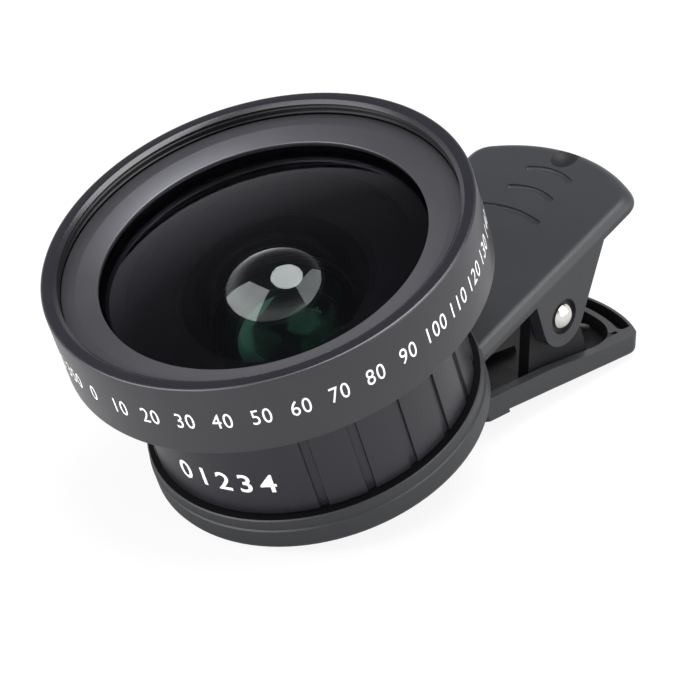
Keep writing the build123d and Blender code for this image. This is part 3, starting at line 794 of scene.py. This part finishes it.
def build_camera():
    """The photo's camera, by its focal length, place and direction."""
    data = bpy.data.cameras.new("photo_camera")
    data.lens = FOCAL_PX / IMAGE_PX * SENSOR_MM
    data.sensor_width = SENSOR_MM
    data.sensor_fit = "HORIZONTAL"
    data.clip_start = CAMERA_NEAR
    data.clip_end = CAMERA_FAR
    camera = bpy.data.objects.new("photo_camera", data)
    bpy.context.scene.collection.objects.link(camera)
    x, y, over_rim = CAMERA_FROM_RIM
    spot = row_point(x, y, over_rim + RIM_Z)
    look = row_direction(*CAMERA_LOOK)
    up = row_direction(*CAMERA_UP)
    right = look.cross(up).normalized()
    up = right.cross(look).normalized()
    camera.matrix_world = axes_matrix(right, up, -look, spot)
    bpy.context.scene.camera = camera


def combine(tree, operation, first, second):
    """A math node on a value and on another value or a number."""
    node = tree.nodes.new("ShaderNodeMath")
    node.operation = operation
    tree.links.new(first, node.inputs[0])
    if isinstance(second, float):
        node.inputs[1].default_value = second
    else:
        tree.links.new(second, node.inputs[1])
    return node.outputs["Value"]


FLOOR_SIZE = 3.0
FLOOR_CLOUD_SCALE = 3.0
FLOOR_DARK = (0.84, 0.84, 0.84)
FLOOR_LIGHT = (0.85, 0.85, 0.85)
FLOOR_WHITE_SHARE = 0.88
FLOOR_MIRROR_LEVEL = 0.8
FLOOR_PAINTED_SHADE_REACH = 0.03


def build_floor():
    """A plain white floor that fades into the white background and keeps a soft shadow; the white that
    reflections and glass show of it has painted shade near the object.
    """
    material, tree, output = new_material("white_floor")
    shader = tree.nodes.new("ShaderNodeBsdfPrincipled")
    cloud = noise(tree, object_coords(tree), FLOOR_CLOUD_SCALE, detail=2.0)
    tone = blend_colours(tree, cloud.outputs["Fac"], FLOOR_DARK, FLOOR_LIGHT)
    tree.links.new(tone, shader.inputs["Base Color"])
    shader.inputs["Roughness"].default_value = 0.9
    shader.inputs["Specular IOR Level"].default_value = 0.0
    white = tree.nodes.new("ShaderNodeEmission")
    white.inputs["Color"].default_value = (1, 1, 1, 1)
    # Ambient occlusion paints shade on the floor's white near the object, as reflections and glass show it
    painted_shade = tree.nodes.new("ShaderNodeAmbientOcclusion")
    painted_shade.inputs["Distance"].default_value = FLOOR_PAINTED_SHADE_REACH
    path = tree.nodes.new("ShaderNodeLightPath")
    reflected_white_with_painted_shade = combine(tree, "MULTIPLY", painted_shade.outputs["AO"], FLOOR_MIRROR_LEVEL)
    lit = combine(tree, "MAXIMUM", reflected_white_with_painted_shade, path.outputs["Is Camera Ray"])
    tree.links.new(lit, white.inputs["Strength"])
    seen = combine(tree, "MAXIMUM", path.outputs["Is Camera Ray"], path.outputs["Is Glossy Ray"])
    seen = combine(tree, "MAXIMUM", seen, path.outputs["Is Transmission Ray"])
    share = combine(tree, "MULTIPLY", seen, FLOOR_WHITE_SHARE)
    mix = tree.nodes.new("ShaderNodeMixShader")
    tree.links.new(share, mix.inputs["Fac"])
    tree.links.new(shader.outputs["BSDF"], mix.inputs[1])
    tree.links.new(white.outputs["Emission"], mix.inputs[2])
    tree.links.new(mix.outputs["Shader"], output.inputs["Surface"])
    corners = [(-1, -1), (1, -1), (1, 1), (-1, 1)]
    mesh = bpy.data.meshes.new("studio_floor")
    mesh.from_pydata([(FLOOR_SIZE * x, FLOOR_SIZE * y, 0) for x, y in corners], [], [(0, 1, 2, 3)])
    mesh.materials.append(material)
    floor = bpy.data.objects.new("studio_floor", mesh)
    bpy.context.scene.collection.objects.link(floor)


def soft_light(name, shape, spot, facing, width, height, radiance):
    """A soft light of some shape and brightness that faces a direction."""
    data = bpy.data.lights.new(name, "AREA")
    data.shape = shape
    data.size = width
    if shape == "RECTANGLE":
        data.size_y = height
        area = width * height
    else:
        area = math.pi * (width / 2) ** 2
    data.energy = radiance * math.pi * area
    lamp = bpy.data.objects.new(name, data)
    bpy.context.scene.collection.objects.link(lamp)
    lamp.location = spot
    lamp.rotation_euler = Vector(facing).to_track_quat("-Z", "Y").to_euler()


# Brightness of the surroundings by the sine of the height over the horizon
TENT_STOPS = ((0.0, 1.0), (0.36, 1.0), (0.45, 0.62), (0.55, 0.4), (0.66, 0.15), (0.8, 0.1), (1.0, 0.1))
TENT_STRENGTH = 0.9


def build_world():
    """White for the camera, and a studio that is white at the foot and dim above for the rest."""
    world = bpy.data.worlds.new("studio_world")
    bpy.context.scene.world = world
    world.use_nodes = True
    tree = world.node_tree
    tree.nodes.clear()
    output = tree.nodes.new("ShaderNodeOutputWorld")
    seen = tree.nodes.new("ShaderNodeBackground")
    seen.inputs["Color"].default_value = (1, 1, 1, 1)
    seen.inputs["Strength"].default_value = 1.0
    coords = tree.nodes.new("ShaderNodeTexCoord")
    parts = tree.nodes.new("ShaderNodeSeparateXYZ")
    tree.links.new(coords.outputs["Generated"], parts.inputs["Vector"])
    ramp = tree.nodes.new("ShaderNodeValToRGB")
    ramp.color_ramp.elements.remove(ramp.color_ramp.elements[1])
    ramp.color_ramp.elements[0].position = TENT_STOPS[0][0]
    ramp.color_ramp.elements[0].color = (TENT_STOPS[0][1],) * 3 + (1,)
    for height, tone in TENT_STOPS[1:]:
        element = ramp.color_ramp.elements.new(height)
        element.color = (tone,) * 3 + (1,)
    tree.links.new(parts.outputs["Z"], ramp.inputs["Fac"])
    tent = tree.nodes.new("ShaderNodeBackground")
    tree.links.new(ramp.outputs["Color"], tent.inputs["Color"])
    tent.inputs["Strength"].default_value = TENT_STRENGTH
    path = tree.nodes.new("ShaderNodeLightPath")
    mix = tree.nodes.new("ShaderNodeMixShader")
    tree.links.new(path.outputs["Is Camera Ray"], mix.inputs["Fac"])
    tree.links.new(tent.outputs["Background"], mix.inputs[1])
    tree.links.new(seen.outputs["Background"], mix.inputs[2])
    tree.links.new(mix.outputs["Shader"], output.inputs["Surface"])


# A round softbox overhead and a square one on each side of the camera, as the dome mirrors them:
# name, shape, place, direction that it faces, width, height and brightness
SOFTBOXES = (
    ("top_softbox", "DISK", (0.0, -0.12, 0.63), (0.0, 0.19, -0.98), 0.5, 0.5, 8.4),
    ("left_softbox", "RECTANGLE", (-0.31, 0.135, 0.265), (1, 0, 0), 0.4, 0.5, 4.0),
    ("right_softbox", "RECTANGLE", (0.175, -0.3, 0.285), (0, 1, 0), 0.47, 0.5, 2.3),
)


def build_lights():
    """The softboxes, whose mirror images show in the dome."""
    for softbox in SOFTBOXES:
        soft_light(*softbox)


# Materials of the CAD nodes that are carried over

NODE_MATERIALS = (
    ("upper_arm", PLASTIC),
    ("lower_arm", PLASTIC),
    ("upper_pad", RUBBER),
    ("lower_pad", RUBBER),
    # The washer takes painted shade of the gap over the collar
    ("macro_washer", GAP_SHADE_BLACK),
    ("wide_washer", RUBBER),
    ("macro_front_keeper", INNER_BLACK),
    ("macro_rear_keeper", INNER_BLACK),
    ("pivot_pin", STEEL),
    ("pin_keeper", STEEL),
)


def assign(node, material):
    """Give a carried-over CAD node its material."""
    mesh = frame["nodes"][node].data
    mesh.materials.clear()
    mesh.materials.append(material)
    smooth(mesh, CAD_SHARP_ANGLE)


DIMPLE_X = 49.9
DIMPLE_R = 1.95
DIMPLE_LOW_Z = 2.4
DIMPLE_TOP_Z = 3.56


def dimple_face(x, y, z):
    """Whether a point of the upper arm lies in the dimple at the lever's end, where shade is painted."""
    return math.hypot(x - DIMPLE_X, y) < DIMPLE_R and DIMPLE_LOW_Z < z < DIMPLE_TOP_Z


COLLAR_R = 20.75
COLLAR_NEAR_TOP_Z = 4.97


def collar_face(x, y, z):
    """Whether a point of the upper arm lies on top of the collar, under the close-up lens, where shade is
    painted.
    """
    return math.hypot(x, y) < COLLAR_R and COLLAR_NEAR_TOP_Z < z


# Bounds of the lower arm's tray and inner ears, whose faces take painted shade
ARM_UPPER_LINE = ((15.3, -3.4), (26.2, -7.8), (35.1, -12.1), (48.0, -17.63))
ARM_LOWER_LINE = ((13.9, -6.2), (25.6, -10.8), (36.5, -15.9), (48.0, -20.72))
TRAY_HALF_WIDTH = 11.8
TRAY_OVER_LOWER = 0.4
TRAY_UNDER_UPPER = 0.3
INNER_EAR_FROM_Y = 9.2
INNER_EAR_TO_Y = 11.2
INNER_EAR_FROM_X = 20.0
INNER_EAR_TO_X = 40.0


def height_on(line, x):
    """Height at some x of a line of straight runs, whose last run goes on past its end."""
    for first, last in zip(line, line[1:]):
        share = (x - first[0]) / (last[0] - first[0])
        if x <= last[0]:
            break
    return first[1] + share * (last[1] - first[1])


def tray_face(x, y, z):
    """Whether a point of the lower arm lies inside its tray or on an inner ear, where shade is painted."""
    over_floor = z > height_on(ARM_LOWER_LINE, x) + TRAY_OVER_LOWER
    in_tray = abs(y) < TRAY_HALF_WIDTH and z < height_on(ARM_UPPER_LINE, x) - TRAY_UNDER_UPPER
    on_ear = INNER_EAR_FROM_Y < abs(y) < INNER_EAR_TO_Y and INNER_EAR_FROM_X < x < INNER_EAR_TO_X
    return over_floor and (in_tray or on_ear)


def darken(node, material, test):
    """Give the faces of a CAD node that pass a test another material, which paints shade on them."""
    mesh = frame["nodes"][node].data
    mesh.materials.append(material)
    to_lens = TO_ROW.inverted()
    for polygon in mesh.polygons:
        if test(*(to_lens @ polygon.center)):
            polygon.material_index = len(mesh.materials) - 1


def main():
    build_front_ring()
    build_bezel()
    build_front_spacer()
    build_front_glass()
    build_baffle()
    build_macro_ring()
    build_macro_front_glass()
    build_macro_rear_glass()
    build_spring()
    build_scales()
    for node, material in NODE_MATERIALS:
        assign(node, material)
    # Painted shade in the dimple, on the collar's top under the close-up lens and inside the lower arm's
    # tray
    darken("upper_arm", SHADE_PAINTED_PLASTIC, dimple_face)
    darken("upper_arm", GAP_SHADE_BLACK, collar_face)
    darken("lower_arm", SHADE_PAINTED_PLASTIC, tray_face)
    build_camera()
    build_floor()
    build_world()
    build_lights()
    bpy.context.scene.view_settings.view_transform = "Standard"


main()
